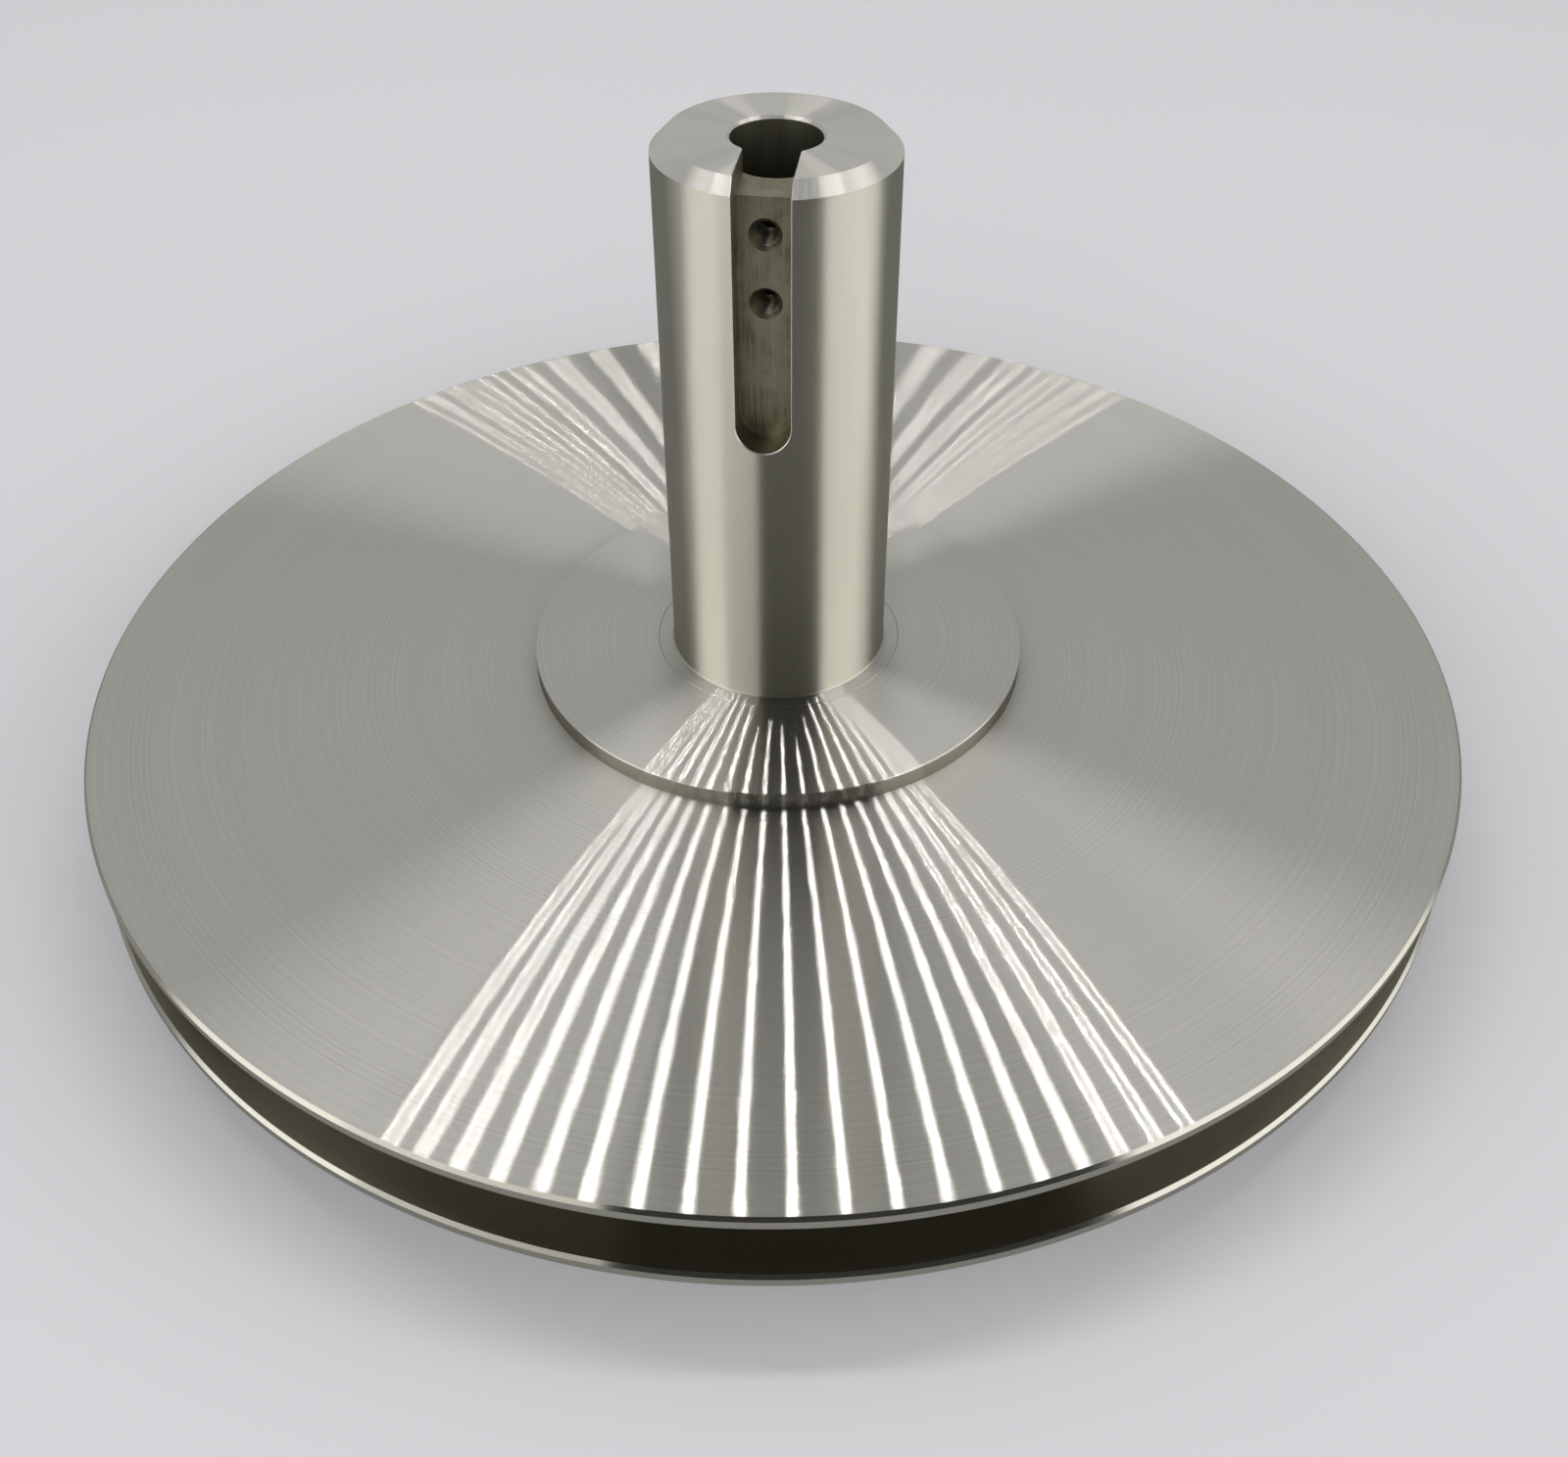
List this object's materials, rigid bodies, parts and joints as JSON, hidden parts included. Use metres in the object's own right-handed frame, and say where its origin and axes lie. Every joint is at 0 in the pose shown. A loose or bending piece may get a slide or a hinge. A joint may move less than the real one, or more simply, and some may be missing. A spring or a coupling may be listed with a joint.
{
  "type": "flanged band wheel",
  "caption": "Turned steel wheel with a band groove round its rim, on a hollow shaft with a keyway and tapped key-screw holes.",
  "frame": {"origin": "on the shaft's axis, at the bottom face that the wheel stands on", "axes": "+Z along the shaft, towards its keyed end; the keyway faces -Y"},
  "size_m": [0.223, 0.223, 0.1124],
  "materials": {
    "turned_shaft": "fine turned, satin",
    "turned_boss": "face turned, fine concentric marks",
    "turned_cheek": "face turned, fine concentric marks",
    "band_seat": "turned groove floor",
    "turned_lower_cheek": "face turned",
    "clamp_ring_steel": "turned, satin",
    "screw_steel": "plain stainless screws",
    "pin_steel": "ground"
  },
  "bodies": {
    "root": {"hollow_shaft": "turned_shaft", "hub": "turned_boss", "upper_cheek": "turned_cheek", "band_core": "band_seat", "lower_cheek": "turned_lower_cheek", "clamp_ring": "clamp_ring_steel", "clamp_screws": "screw_steel", "dowel_pins": "pin_steel"}
  },
  "joints": []
}
